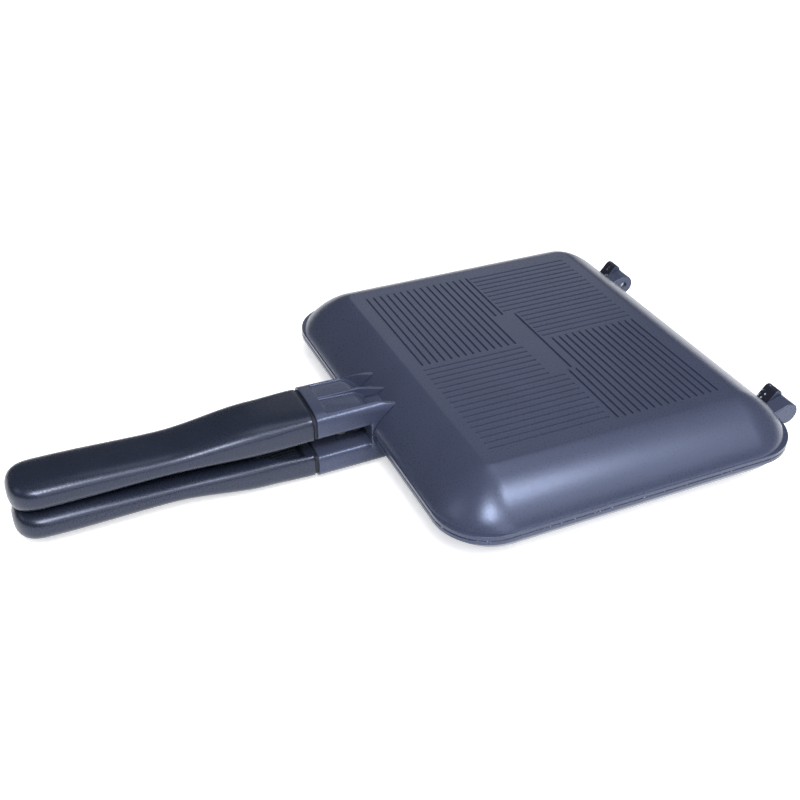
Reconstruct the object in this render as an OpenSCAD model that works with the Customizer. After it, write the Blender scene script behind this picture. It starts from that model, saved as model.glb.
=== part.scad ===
// Double sided flip pan: two trays joined by side hinges, each with its own handle,
// that close over the food so that the whole pan can be turned over on the hob.
// Origin: centre of the lower tray's resting face. +X runs from the handles to the
// hinges, +Y along the hinge axis, +Z up. Millimetres. Each half is drawn with the
// seam between the trays at z = 0 and its outer face up, then set in its place.

/* [Trays] */
// Length of a tray over its rim, from the handle side to the hinge side
tray_len = 193; // [184:1:230]
// Width of a tray over its rim, along the hinge axis
tray_w = 220; // [212:1:260]
// Height of the outer flat face above the seam
tray_h = 21.8; // [20:0.2:30]
// Corner radius of the rim, seen from above
rim_r = 26; // [20:1:26]
// Height of the rim's upright edge
rim_h = 2.4; // [2:0.1:3]
// Step from the rim's edge in to the foot of the crown
rim_step = 0.5; // [0.3:0.1:1.5]
// Gap between the closed rims
seam_gap = 0.3; // [0.2:0.05:0.6]
// Corner radius of the crown's foot, seen from above
crown_r = 30; // [28:1:34]
// Run of the crown's slope from its foot to the flat face
crown_run = 26; // [20:0.5:27]
// Fullness of the slope: 1 is straight and 2 is a quarter of an ellipse
crown_bow = 1.35; // [1.2:0.05:1.8]
// Width of the rim's sealing face, and so the wall at the rim
rim_wall = 3.6; // [3:0.1:5]
// Thickness of the tray's floor
floor_t = 3.4; // [2.6:0.1:5]

/* [Groove pattern] */
// Width of one heat groove in the outer face
groove_w = 1.25; // [0.8:0.05:2]
// Depth of the grooves
groove_d = 0.8; // [0.4:0.1:1.2]
// Spacing of the grooves that run along the hinge axis
pitch_x = 4.14; // [3.4:0.02:4.3]
// Spacing of the grooves that run from handle to hinge
pitch_y = 4.42; // [3.4:0.02:4.5]
// Grooves each side of the middle one, among those along the hinge axis
count_x = 15; // [8:1:15]
// Grooves each side of the middle, among those from handle to hinge
count_y = 17; // [8:1:17]
// Length of the bare patch in the middle
patch_len = 62.6; // [40:1:80]
// Width of the bare patch in the middle
patch_w = 15.4; // [10:0.2:24]

/* [Hinges] */
// Distance of the hinge axis outside the rim
axis_out = 8.9; // [8.5:0.1:12]
// Distance from a tray's side to the joint between the two lugs of a pair
hinge_in = 35.4; // [35.4:0.2:60]
// Width of one lug
lug_w = 8.7; // [6:0.1:9.2]
// Running gap between two lugs
lug_gap = 0.3; // [0.2:0.05:0.5]
// Outer radius of a lug's knuckle
knuckle_r = 6; // [5:0.1:6.4]
// Diameter of a hinge pin
pin_d = 4; // [3:0.1:4.6]
// Clearance round a pin in its bore, on the radius
pin_play = 0.05; // [0.03:0.01:0.09]
// Length of a hinge pin
pin_len = 14.8; // [12:0.1:15]
// Skin left over the near pins' blind bores
pin_skin = 1.5; // [1:0.1:2]

/* [Handle brackets] */
// Length of a bracket from the rim to the grip's spacer
bracket_len = 29.1; // [26:0.1:40]
// Half width of a bracket
bracket_half_w = 17; // [14:0.1:18]
// Height of a bracket's inner face above the seam
bracket_in = 4.2; // [3.6:0.1:5.5]
// Height of a bracket's fins above the seam
bracket_out = 18.9; // [16.8:0.1:19.5]
// Radius of a bracket's outer long edges
bracket_edge = 5; // [2:0.1:6]
// Radius of a bracket's inner long edges
bracket_inner_edge = 2.2; // [1:0.1:3]
// Width of the middle fin
fin_w = 1.8; // [1.4:0.1:3.6]
// Width of the two side fins
side_fin_w = 4; // [3:0.1:5]
// Half width of a bracket at its fins' tips
tip_half_w = 15.8; // [14:0.1:17]
// Depth of the flutes at the collar
flute_d = 0.9; // [0.5:0.1:1.5]
// Length of the plain collar
collar_len = 5.1; // [4:0.1:9]
// Reach of the fins over the crown, inside the rim
fin_reach = 13; // [9:0.5:16]
// Thickness of the foot that runs down the outside of the rim to the seam
foot_t = 1.6; // [1:0.1:2.5]

/* [Handle core] */
// Thickness of the insulating spacer between bracket and grip
spacer_t = 1.5; // [1.2:0.1:3]
// Step of the spacer below the bracket's sides
spacer_step = 0.9; // [0.5:0.1:1.5]
// Width of the steel tang
tang_w = 12; // [9:0.5:14]
// Thickness of the steel tang
tang_t = 3; // [2:0.1:3.4]
// Height of the tang's inner face above the seam
tang_z = 8.6; // [8.2:0.1:9.2]
// Length of the tang inside the bracket
tang_in_bracket = 10.5; // [8:0.5:12]
// Length of the tang inside the grip
tang_in_grip = 76; // [60:1:90]
// Clearance between pieces that are fitted into each other
fit_gap = 0.1; // [0.05:0.01:0.2]

/* [Grips] */
// Length of a grip
grip_len = 141.4; // [125:0.1:160]
// Half width of the grip at its spacer
face_half_w = 16.2; // [14.6:0.1:18]
// Half width of the grip's shoulder
shoulder_half_w = 16.4; // [14.6:0.1:18.5]
// Half width of the grip's waist
waist_half_w = 14.3; // [12:0.1:16]
// Half width of the grip's swelling near its end
swell_half_w = 14.9; // [13:0.1:17]
// Outer height of the grip at its spacer, above the seam
face_out = 18.3; // [17:0.1:20]
// Outer height of the shoulder
shoulder_out = 18.5; // [17:0.1:21]
// Outer height of the waist
waist_out = 14.6; // [14:0.1:17]
// Outer height of the swelling near the end
swell_out = 16.2; // [14:0.1:18]
// Inner height of the grip at its spacer, above the seam
face_in = 3.6; // [3:0.1:5]
// Inner height of the shoulder
shoulder_in = 2; // [1.6:0.1:3]
// Inner height of the waist
waist_in = 2; // [1.2:0.1:3]
// Inner height of the swelling near the end
swell_in = 0.4; // [0.3:0.05:0.8]
// Length over which the end of the grip rounds off
end_round = 15; // [10:0.5:18]

/* [Fasteners and magnets] */
// Diameter of the bracket screws
screw_d = 3; // [2.5:0.1:3.5]
// Diameter of the bracket screws' heads
screw_head_d = 5.6; // [4.8:0.1:6]
// Diameter of the grip screw
grip_screw_d = 3.6; // [3:0.1:4]
// Diameter of the grip screw's head
grip_head_d = 6.8; // [6:0.1:7.4]
// Diameter of the tang rivet
rivet_d = 4; // [3:0.1:5]
// Diameter of a closing magnet
magnet_d = 12; // [8:0.5:14]
// Thickness of a closing magnet
magnet_t = 4.5; // [3:0.1:6]
// Diameter of the cap over a magnet
cap_d = 15; // [14.5:0.1:17]
// Thickness of the cap over a magnet
cap_t = 1.2; // [0.8:0.1:1.6]

/* [Hidden] */

coat = "#4a5065";
granite = "#23262d";
phenolic = "#2a2e37";
steel = "#b9bcc0";
round_fn = 48;
bow_steps = 9;
eps = 0.01;

rim_z = seam_gap / 2;
half_len = tray_len / 2;
half_w = tray_w / 2;
foot_x = half_len - rim_step;
foot_y = half_w - rim_step;
axis_x = half_len + axis_out;
hinge_y = half_w - hinge_in;

// The handle's stations along X, from the rim outwards
bracket_x = -half_len - bracket_len;
face_x = bracket_x - spacer_t;
end_x = face_x - grip_len;
shoulder_x = face_x - 0.17 * grip_len;
waist_x = face_x - 0.5 * grip_len;
swell_x = face_x - 0.85 * grip_len;

// The boss on each tray that its bracket is screwed to
boss_half_w = 8;
boss_x = -half_len - 15.5;
boss_in = bracket_in + 0.8;
boss_out = 12.4;
screw_xs = [boss_x + 3.8, boss_x + 12];
screw_bite = 2.4;
screw_head_t = 1.8;

tang_end_x = bracket_x + tang_in_bracket;
tang_tail_x = face_x - tang_in_grip;
rivet_x = bracket_x + tang_in_bracket / 2;
rivet_top = 13.6;
grip_screw_x = face_x - 43;
grip_head_t = 2.2;
grip_head_z = 3.1;
magnet_x = swell_x;
pad_z = swell_in + 0.15;
scoop_r = 30;
scoop_half_w = 13.6;
scoop_floor = 6.6;
scoop_x = face_x - 8.9;
scoop_wall = 4.9;

// ---------------------------------------------------------------- trays

// Points of a slope from its foot at (0, z0) to (run, z1), as steps of a superellipse
function slope(run, z0, z1) = [for (i = [0:bow_steps])
    let (a = 90 * i / bow_steps)
    [run * (1 - pow(cos(a), 2 / crown_bow)), z0 + (z1 - z0) * pow(sin(a), 2 / crown_bow)]];

// One side of the outline, from the base at z = base up the slope to the flat top
function side_pts(foot, run, base, z0, z1) = concat([[foot, base]],
    [for (p = slope(run, z0, z1)) [foot - p[0], p[1]]]);

// Full outline across a tray, symmetric about x = 0
module across(foot, run, base, z0, z1) {
    right = side_pts(foot, run, base, z0, z1);
    left = [for (i = [len(right) - 1:-1:0]) [-right[i][0], right[i][1]]];
    polygon(concat(right, left));
}

// A pillow with round corners in plan: two crossed prisms and four turned corners
module pillow(fx, fy, r, run, base, z0, z1) {
    rotate([90, 0, 0])
        linear_extrude(2 * (fy - r), center = true)
            across(fx, run, base, z0, z1);
    rotate([90, 0, 90])
        linear_extrude(2 * (fx - r), center = true)
            across(fy, run, base, z0, z1);
    for (sx = [0, 1], sy = [0, 1])
        mirror([sx, 0, 0])
            mirror([0, sy, 0])
                translate([fx - r, fy - r, 0])
                    rotate_extrude(angle = 90, $fn = 2 * round_fn)
                        polygon(concat([[0, base]], side_pts(r, run, base, z0, z1), [[0, z1]]));
}

// The crown's outer form, grown by g where another piece has to clear it
module crown(g = 0)
    pillow(foot_x + g, foot_y + g, crown_r + g, crown_run, rim_z, rim_h + g, tray_h + g);

// Flat plate with round corners
module round_plate(fx, fy, r, z0, z1)
    translate([0, 0, z0])
        linear_extrude(z1 - z0) {
            square([2 * fx, 2 * (fy - r)], center = true);
            square([2 * (fx - r), 2 * fy], center = true);
            for (sx = [-1, 1], sy = [-1, 1])
                translate([sx * (fx - r), sy * (fy - r)])
                    circle(r, $fn = 2 * round_fn);
        }

// The hollow inside a tray
module hollow()
    pillow(foot_x - rim_wall, foot_y - rim_wall, crown_r - rim_wall, crown_run - rim_wall,
        -1, rim_z, tray_h - floor_t);

// One groove with round ends, from (x0, y0) to (x1, y1), which lie along X or Y
module groove(x0, y0, x1, y1) {
    translate([(x0 + x1) / 2, (y0 + y1) / 2])
        square([max(x1 - x0, groove_w), max(y1 - y0, groove_w)], center = true);
    for (p = [[x0, y0], [x1, y1]])
        translate(p)
            circle(d = groove_w, $fn = 16);
}

// The four fields of grooves round the bare patch, seen from outside
module groove_pattern() {
    reach_x = (count_x + 0.3) * pitch_x;
    reach_y = (count_y + 0.1) * pitch_y;
    for (i = [-count_x:0]) {
        x = i * pitch_x;
        groove(x, x > -patch_w / 2 ? patch_len / 2 : 0.4 * pitch_y, x, reach_y);
    }
    for (i = [1:count_x]) {
        x = i * pitch_x;
        groove(x, -reach_y, x, x - pitch_x < patch_w / 2 ? -patch_len / 2 : -0.2 * pitch_y);
    }
    for (i = [1:count_y]) {
        y = (i - 0.3) * pitch_y;
        groove(y < patch_len / 2 ? patch_w / 2 + 0.3 * pitch_x : 0.6 * pitch_x, y, reach_x, y);
        groove(-reach_x, -y, y < patch_len / 2 ? -patch_w / 2 + 0.2 * pitch_x : 0, -y);
    }
    groove(patch_w / 2 - 0.25 * pitch_x, -patch_len / 2 + pitch_y / 2,
        patch_w / 2 - 0.25 * pitch_x, patch_len / 2 - pitch_y / 2);
}

// A tray without its lugs
module tray() {
    difference() {
        union() {
            crown();
            round_plate(half_len, half_w, rim_r, rim_z, rim_h);
            translate([boss_x, -boss_half_w, boss_in])
                cube([-foot_x + crown_run / 2 - boss_x, 2 * boss_half_w, boss_out - boss_in]);
        }
        hollow();
        translate([0, 0, tray_h - groove_d])
            linear_extrude(groove_d + 1)
                groove_pattern();
        for (x = screw_xs)
            translate([x, 0, boss_in]) {
                translate([0, 0, -1])
                    cylinder(d = screw_head_d + 4 * fit_gap, h = screw_head_t + 1.2, $fn = round_fn);
                cylinder(d = screw_d + 2 * fit_gap, h = boss_out, $fn = round_fn);
            }
    }
}

// ---------------------------------------------------------------- hinges

// Point on the knuckle's circle
function on_knuckle(a) = [axis_x + knuckle_r * cos(a), knuckle_r * sin(a)];

// Outline of a lug of the top tray, in the XZ plane
module plain_lug_outline() {
    translate([axis_x, 0])
        circle(knuckle_r, $fn = round_fn);
    polygon([[half_len - 6, rim_z], [half_len - 6, rim_h], [half_len, rim_h + 0.8],
        on_knuckle(105), [axis_x, 0], on_knuckle(228), [half_len + 1.2, rim_z]]);
}

// Outline of a lug of the bottom tray, whose ear stands above the other tray's lug
module eared_lug_outline() {
    ear_r = 0.44 * knuckle_r;
    ear_x = axis_x - 0.2;
    ear_z = axis_out - 0.3 - ear_r;
    translate([axis_x, 0])
        circle(knuckle_r, $fn = round_fn);
    translate([ear_x, ear_z])
        circle(ear_r, $fn = round_fn);
    polygon([[half_len - 6, -rim_z], [half_len + 0.7, -rim_z], [half_len + 2, 2],
        [ear_x - ear_r * cos(45), ear_z + ear_r * sin(45)], [ear_x, ear_z],
        [ear_x + ear_r, ear_z], [ear_x + ear_r, 0], [axis_x, 0],
        on_knuckle(-105), [half_len, -rim_h - 0.8], [half_len - 6, -rim_h]]);
}

// A lug outline drawn as a solid from y0 to y0 + lug_w
module lug_at(y0)
    translate([0, y0 + lug_w, 0])
        rotate([90, 0, 0])
            linear_extrude(lug_w)
                children();

// Cylinder on the hinge axis from y0 to y1
module on_axis(r, y0, y1)
    translate([axis_x, y0, 0])
        rotate([-90, 0, 0])
            cylinder(r = r, h = y1 - y0, $fn = round_fn);

plain_far_y = hinge_y - lug_gap / 2 - lug_w;
plain_near_y = -hinge_y - lug_gap / 2 - lug_w;
eared_far_y = hinge_y + lug_gap / 2;
eared_near_y = -hinge_y + lug_gap / 2;
pin_bore_r = pin_d / 2 + pin_play;
pin_far_y = plain_far_y + pin_skin;
pin_near_y = plain_near_y + pin_skin;

module hinge_pin(y0)
    color(steel)
        translate([0, 0, tray_h])
            on_axis(pin_d / 2, y0 + pin_play, y0 + pin_len);

// ---------------------------------------------------------------- handles

// Rectangle from z0 to z1 and half width w, in the YZ plane, with its edges rounded to r0 at z0 and r1 at z1,
// as a slab from x0 to x1
module bar(x0, x1, w, z0, z1, r0, r1)
    translate([x0, 0, 0])
        rotate([90, 0, 90])
            linear_extrude(x1 - x0) {
                translate([-w + r0, z0])
                    square([2 * (w - r0), z1 - z0 - r1]);
                translate([-w, z0 + r0])
                    square([2 * w, z1 - z0 - r0 - r1]);
                translate([-w + r1, z0 + r0])
                    square([2 * (w - r1), z1 - z0 - r0]);
                for (sy = [-1, 1]) {
                    translate([sy * (w - r0), z0 + r0])
                        circle(r0, $fn = round_fn);
                    translate([sy * (w - r1), z1 - r1])
                        circle(r1, $fn = round_fn);
                }
            }

// An outline in the XZ plane, drawn as a solid from y0 to y1
module side_view(y0, y1, pts)
    translate([0, y1, 0])
        rotate([90, 0, 0])
            linear_extrude(y1 - y0)
                polygon(pts);

module bracket() {
    flute_x = bracket_x + collar_len;
    bend_x = -half_len - 1.5;
    tip_x = -half_len + fin_reach;
    tip_z = bracket_out - 3.6;
    flute_w = bracket_half_w - side_fin_w - fin_w / 2;
    difference() {
        union() {
            bar(bracket_x, tip_x, bracket_half_w, bracket_in, bracket_out, bracket_inner_edge, bracket_edge);
            // The foot against the rim
            side_view(-bracket_half_w, bracket_half_w, [[-half_len - foot_t, bracket_in + bracket_inner_edge],
                [-half_len - foot_t, bracket_in], [-half_len - 0.6 * foot_t, rim_z],
                [-half_len + foot_t, rim_z], [-half_len + foot_t, bracket_in + bracket_inner_edge]]);
        }
        round_plate(half_len + fit_gap, half_w, rim_r, rim_z - 1, rim_h + fit_gap);
        // The fins fall towards their tips
        side_view(-bracket_half_w - 1, bracket_half_w + 1, [[bend_x, bracket_out],
            [tip_x + 1, tip_z - 0.3], [tip_x + 1, bracket_out + 1], [bend_x, bracket_out + 1]]);
        // The sides draw in towards the tips
        for (s = [-1, 1])
            translate([0, 0, bracket_in - 1])
                linear_extrude(bracket_out - bracket_in + 2)
                    polygon([[bend_x, s * bracket_half_w], [tip_x + 1, s * tip_half_w],
                        [tip_x + 1, s * (bracket_half_w + 1)], [bend_x, s * (bracket_half_w + 1)]]);
        // The two flutes between the fins
        for (s = [-1, 1])
            side_view((s - 1) / 2 * flute_w + s * fin_w / 2, (s + 1) / 2 * flute_w + s * fin_w / 2,
                [[flute_x, bracket_out + 1], [flute_x + 0.6, bracket_out - flute_d],
                [bend_x - 1, bracket_out - 2 * flute_d], [-half_len + 4.5, rim_h + 6],
                [tip_x + 1, rim_h + 6], [tip_x + 1, bracket_out + 1]]);
        crown(fit_gap);
        // Pocket for the tray's boss
        translate([boss_x - 2 * fit_gap, -boss_half_w - 2 * fit_gap, bracket_in - 1])
            cube([-boss_x, 2 * (boss_half_w + 2 * fit_gap), boss_out + fit_gap - bracket_in + 1]);
        for (x = screw_xs)
            translate([x, 0, boss_out])
                cylinder(d = screw_d + fit_gap, h = screw_bite + 0.4, $fn = round_fn);
        // Slot for the tang, and the rivet through both
        translate([bracket_x - 1, -tang_w / 2 - fit_gap, tang_z - fit_gap])
            cube([tang_in_bracket + 1 + fit_gap, tang_w + 2 * fit_gap, tang_t + 2 * fit_gap]);
        translate([rivet_x, 0, bracket_in - 1])
            cylinder(d = rivet_d + fit_gap, h = rivet_top + 0.3 - bracket_in + 1, $fn = round_fn);
    }
}

module bracket_screws()
    for (x = screw_xs)
        translate([x, 0, boss_in + 0.1]) {
            difference() {
                cylinder(d = screw_head_d, h = screw_head_t, $fn = round_fn);
                for (a = [0, 90])
                    rotate([0, 0, a])
                        translate([-screw_head_d / 3, -0.4, -1])
                            cube([2 * screw_head_d / 3, 0.8, 1.8]);
            }
            translate([0, 0, screw_head_t - eps])
                cylinder(d = screw_d, h = boss_out + screw_bite - boss_in - screw_head_t, $fn = round_fn);
        }

module heat_spacer()
    difference() {
        bar(face_x, bracket_x, bracket_half_w - spacer_step, bracket_in + spacer_step,
            bracket_out - flute_d - spacer_step, bracket_inner_edge, bracket_edge);
        translate([face_x - 1, -tang_w / 2 - fit_gap, tang_z - fit_gap])
            cube([spacer_t + 2, tang_w + 2 * fit_gap, tang_t + 2 * fit_gap]);
    }

module tang()
    difference() {
        translate([tang_tail_x, -tang_w / 2, tang_z])
            cube([tang_end_x - tang_tail_x, tang_w, tang_t]);
        translate([rivet_x, 0, tang_z - 1])
            cylinder(d = rivet_d + fit_gap, h = tang_t + 2, $fn = round_fn);
        translate([grip_screw_x, 0, tang_z - 1])
            cylinder(d = grip_screw_d + fit_gap, h = tang_t + 2, $fn = round_fn);
    }

module tang_rivet()
    translate([rivet_x, 0, bracket_in + 0.1])
        cylinder(d = rivet_d, h = rivet_top - bracket_in - 0.1, $fn = round_fn);

module grip_screw()
    translate([grip_screw_x, 0, grip_head_z]) {
        difference() {
            cylinder(d = grip_head_d, h = grip_head_t, $fn = round_fn);
            for (a = [0, 90])
                rotate([0, 0, a])
                    translate([-grip_head_d / 3, -0.5, -1])
                        cube([2 * grip_head_d / 3, 1, 2]);
        }
        translate([0, 0, grip_head_t - eps])
            cylinder(d = grip_screw_d, h = tang_z + tang_t - grip_head_z - grip_head_t + 0.6, $fn = round_fn);
    }

module magnet()
    translate([magnet_x, 0, pad_z + cap_t + fit_gap])
        cylinder(d = magnet_d, h = magnet_t, $fn = round_fn);

module magnet_cap()
    translate([magnet_x, 0, pad_z])
        cylinder(d = cap_d, h = cap_t, $fn = round_fn);

// ---------------------------------------------------------------- grips

function ease(t) = t * t * (3 - 2 * t);
function blend(a, b, t) = a + (b - a) * ease(t);

// A value that runs smoothly through the grip's four stations
function along(x, face, shoulder, waist, swell) =
    x >= shoulder_x ? blend(shoulder, face, (x - shoulder_x) / (face_x - shoulder_x))
    : x >= waist_x ? blend(waist, shoulder, (x - waist_x) / (shoulder_x - waist_x))
    : x >= swell_x ? blend(swell, waist, (x - swell_x) / (waist_x - swell_x))
    : swell;

// How far the end's rounding has drawn the section in at x, for a rounding of length l
function end_scale(x, l) = x - end_x >= l ? 1 : pow(1 - pow(1 - (x - end_x) / l, 2.4), 1 / 2.4);

function grip_ring(x) = let (
    w = along(x, face_half_w, shoulder_half_w, waist_half_w, swell_half_w) * end_scale(x, end_round),
    zo = along(x, face_out, shoulder_out, waist_out, swell_out),
    zi = along(x, face_in, shoulder_in, waist_in, swell_in),
    outer = [(zo - zi) / 2 * end_scale(x, 0.6 * end_round), 2 / along(x, 4, 3, 2.7, 2.6)],
    inner = [(zo - zi) / 2 * end_scale(x, 0.35 * end_round), 2 / along(x, 6, 4, 2.9, 2.6)])
    [for (i = [0:ring_n - 1])
        let (a = 360 * (i + 0.5) / ring_n, c = cos(a), s = sin(a), side = s > 0 ? outer : inner)
        [x, w * sign(c) * pow(abs(c), side[1]), (zo + zi) / 2 + side[0] * sign(s) * pow(abs(s), side[1])]];

ring_n = 28;
end_rings = 7;
body_rings = 19;
function ring_xs() = concat(
    [for (i = [0:end_rings - 1]) end_x + end_round * (1 - cos(90 * (i + 0.55) / end_rings))],
    [for (i = [1:body_rings]) end_x + end_round + (face_x - end_x - end_round) * i / body_rings]);

// The grip's outer form, as a skin over its rings
module grip_form() {
    xs = ring_xs();
    n = len(xs);
    pts = [for (x = xs) each grip_ring(x)];
    skin = [for (k = [0:n - 2], i = [0:ring_n - 1])
        let (j = (i + 1) % ring_n, a = k * ring_n, b = a + ring_n)
        each [[a + i, b + j, a + j], [a + i, b + i, b + j]]];
    caps = [[for (i = [0:ring_n - 1]) i], [for (i = [ring_n - 1:-1:0]) (n - 1) * ring_n + i]];
    polyhedron(pts, concat(skin, caps));
}

module grip()
    difference() {
        grip_form();
        // Channel for the tang
        translate([tang_tail_x - fit_gap, -tang_w / 2 - fit_gap, tang_z - fit_gap])
            cube([tang_in_grip + 2, tang_w + 2 * fit_gap, tang_t + 2 * fit_gap]);
        // Screw hole with its head's recess
        translate([grip_screw_x, 0, -1])
            cylinder(d = grip_head_d + 4 * fit_gap, h = grip_head_z + grip_head_t + 1.1, $fn = round_fn);
        translate([grip_screw_x, 0, 0])
            cylinder(d = grip_screw_d + 2 * fit_gap, h = tang_z + tang_t + 1.2, $fn = round_fn);
        // Seat of the magnet and its cap
        translate([magnet_x, 0, -1])
            cylinder(d = cap_d + 2 * fit_gap, h = pad_z + cap_t + 1, $fn = round_fn);
        translate([magnet_x, 0, 0])
            cylinder(d = magnet_d + 2 * fit_gap, h = pad_z + cap_t + magnet_t + 2 * fit_gap, $fn = round_fn);
        // Finger scoop in the inner face, between two arcs and a wall left at the spacer
        linear_extrude(scoop_floor)
            intersection() {
                intersection_for(s = [-1, 1])
                    translate([scoop_x, s * (scoop_r - scoop_half_w)])
                        circle(scoop_r, $fn = 2 * round_fn);
                translate([face_x - scoop_wall - 2 * scoop_r, -scoop_r])
                    square(2 * scoop_r);
            }
    }

// ---------------------------------------------------------------- placing

module top_half()
    translate([0, 0, tray_h])
        children();

module bottom_half()
    translate([0, 0, tray_h])
        rotate([180, 0, 0])
            children();

module top_tray()
    color(coat)
        top_half()
            difference() {
                union() {
                    tray();
                    lug_at(plain_far_y) plain_lug_outline();
                    lug_at(plain_near_y) plain_lug_outline();
                }
                on_axis(pin_bore_r, plain_far_y - 1, plain_far_y + lug_w + 1);
                on_axis(pin_bore_r, pin_near_y, plain_near_y + lug_w + 1);
            }

module bottom_tray()
    color(coat)
        translate([0, 0, tray_h])
            difference() {
                union() {
                    rotate([180, 0, 0])
                        tray();
                    lug_at(eared_far_y) eared_lug_outline();
                    lug_at(eared_near_y) eared_lug_outline();
                }
                on_axis(pin_bore_r, eared_far_y - 1, eared_far_y + lug_w + 1);
                on_axis(pin_bore_r, eared_near_y - 1, eared_near_y + lug_w + 1);
            }

bottom_tray();
color(coat) bottom_half() bracket();  // bottom_bracket
color(steel) bottom_half() bracket_screws();  // bottom_bracket_screws
color(granite) bottom_half() heat_spacer();  // bottom_heat_spacer
color(steel) bottom_half() tang();  // bottom_tang
color(steel) bottom_half() tang_rivet();  // bottom_tang_rivet
color(phenolic) bottom_half() grip();  // bottom_grip
color(steel) bottom_half() grip_screw();  // bottom_grip_screw
color(steel) bottom_half() magnet();  // bottom_magnet
color(granite) bottom_half() magnet_cap();  // bottom_magnet_cap
top_tray();
color(coat) top_half() bracket();  // top_bracket
color(steel) top_half() bracket_screws();  // top_bracket_screws
color(granite) top_half() heat_spacer();  // top_heat_spacer
color(steel) top_half() tang();  // top_tang
color(steel) top_half() tang_rivet();  // top_tang_rivet
color(phenolic) top_half() grip();  // top_grip
color(steel) top_half() grip_screw();  // top_grip_screw
color(steel) top_half() magnet();  // top_magnet
color(granite) top_half() magnet_cap();  // top_magnet_cap
hinge_pin(pin_near_y);  // hinge_pin_near
hinge_pin(pin_far_y);  // hinge_pin_far
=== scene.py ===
import math
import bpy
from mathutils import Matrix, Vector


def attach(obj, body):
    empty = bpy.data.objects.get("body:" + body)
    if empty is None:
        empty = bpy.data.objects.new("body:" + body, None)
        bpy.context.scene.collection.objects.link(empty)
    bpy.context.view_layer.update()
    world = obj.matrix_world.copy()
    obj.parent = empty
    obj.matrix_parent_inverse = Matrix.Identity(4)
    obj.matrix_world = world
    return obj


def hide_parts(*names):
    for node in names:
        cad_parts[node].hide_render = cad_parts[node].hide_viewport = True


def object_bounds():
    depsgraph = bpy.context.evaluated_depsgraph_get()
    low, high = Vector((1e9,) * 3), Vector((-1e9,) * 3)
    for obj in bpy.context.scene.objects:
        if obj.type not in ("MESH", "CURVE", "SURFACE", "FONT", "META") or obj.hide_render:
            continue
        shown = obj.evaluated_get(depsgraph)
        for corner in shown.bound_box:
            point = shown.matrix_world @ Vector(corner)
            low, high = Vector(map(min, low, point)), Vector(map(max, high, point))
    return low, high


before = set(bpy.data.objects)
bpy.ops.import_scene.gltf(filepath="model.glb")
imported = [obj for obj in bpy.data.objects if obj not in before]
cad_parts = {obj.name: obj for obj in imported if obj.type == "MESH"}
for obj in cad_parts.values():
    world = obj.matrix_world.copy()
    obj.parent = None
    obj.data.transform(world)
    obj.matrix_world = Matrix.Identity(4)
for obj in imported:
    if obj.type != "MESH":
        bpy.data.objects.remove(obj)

from types import SimpleNamespace

import bmesh
import bpy
from bpy.props import FloatProperty, FloatVectorProperty, IntProperty, PointerProperty
from mathutils import Matrix, Vector

bl_info = {
    "name": "Double Sided Flip Pan",
    "version": (1, 0, 0),
    "blender": (4, 5, 0),
    "location": "3D View > Sidebar > Flip Pan",
    "description": "Dresses the solids of a hinged double pan: cast trays, lugs, brackets, grips and fittings",
    "category": "Object",
}

CAD_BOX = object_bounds()
SEAM_Z = CAD_BOX[1].z / 2
# Meshes are drawn in millimetres with the seam at z = 0 and the outer face up, then set in their half's place
PLACES = {
    "top": Matrix.Translation((0, 0, SEAM_Z)) @ Matrix.Scale(0.001, 4),
    "bottom": Matrix.Translation((0, 0, SEAM_Z)) @ Matrix.Rotation(math.pi, 4, "X") @ Matrix.Scale(0.001, 4),
}


def linear(code):
    """The linear colour of an sRGB hex value."""
    parts = [int(code[i:i + 2], 16) / 255 for i in (1, 3, 5)]
    return tuple(p / 12.92 if p <= 0.04045 else ((p + 0.055) / 1.055) ** 2.4 for p in parts)


# ---------------------------------------------------------------- sizes and colours

def length(name, description, default):
    """A length property in metres, given in millimetres."""
    return FloatProperty(name=name, description=description, default=default / 1000, unit="LENGTH", precision=5)


def factor(name, description, default, least, most):
    """A plain number property between two limits."""
    return FloatProperty(name=name, description=description, default=default, min=least, max=most)


def colour(name, description, code):
    """A colour property, given as sRGB hex."""
    return FloatVectorProperty(name=name, description=description, default=linear(code), size=3, min=0, max=1,
                               subtype="COLOR")


class FlipPanTrayProps(bpy.types.PropertyGroup):
    tray_length: length("Length", "Length of a tray over its rim, from handle side to hinge side", 193)
    tray_width: length("Width", "Width of a tray over its rim, along the hinge axis", 220)
    tray_height: length("Height", "Height of the flat outer face above the seam", 21.8)
    rim_corner: length("Rim corner", "Corner radius of the rim, seen from above", 26)
    rim_height: length("Rim height", "Height of the rim's upright edge", 2.4)
    rim_step: length("Rim step", "Step from the rim's edge in to the foot of the crown", 0.5)
    rim_edge: length("Rim edge", "Radius of the rim's edges", 0.32)
    seam_gap: length("Seam gap", "Gap between the closed rims", 0.3)
    crown_corner: length("Crown corner", "Corner radius of the crown's foot, seen from above", 30)
    crown_run: length("Crown run", "Run of the slope from the crown's foot to the flat face", 26)
    crown_bow: factor("Crown bow", "Fullness of the slope: 1 is straight and 2 is round", 1.35, 1.1, 2)
    rim_wall: length("Sealing face", "Width of the rim's sealing face", 3.6)
    floor: length("Floor", "Thickness of the tray's floor", 3.4)
    groove_width: length("Groove width", "Width of one heat groove", 1.25)
    groove_depth: length("Groove depth", "Depth of the heat grooves", 0.8)
    groove_edge: length("Groove edge", "Radius of the grooves' upper edges", 0.12)
    pitch_x: length("Cross pitch", "Spacing of the grooves that run along the hinge axis", 4.14)
    pitch_y: length("Long pitch", "Spacing of the grooves that run from handle to hinge", 4.42)
    patch_length: length("Patch length", "Length of the bare patch in the middle", 62.6)
    patch_width: length("Patch width", "Width of the bare patch in the middle", 15.4)


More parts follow.
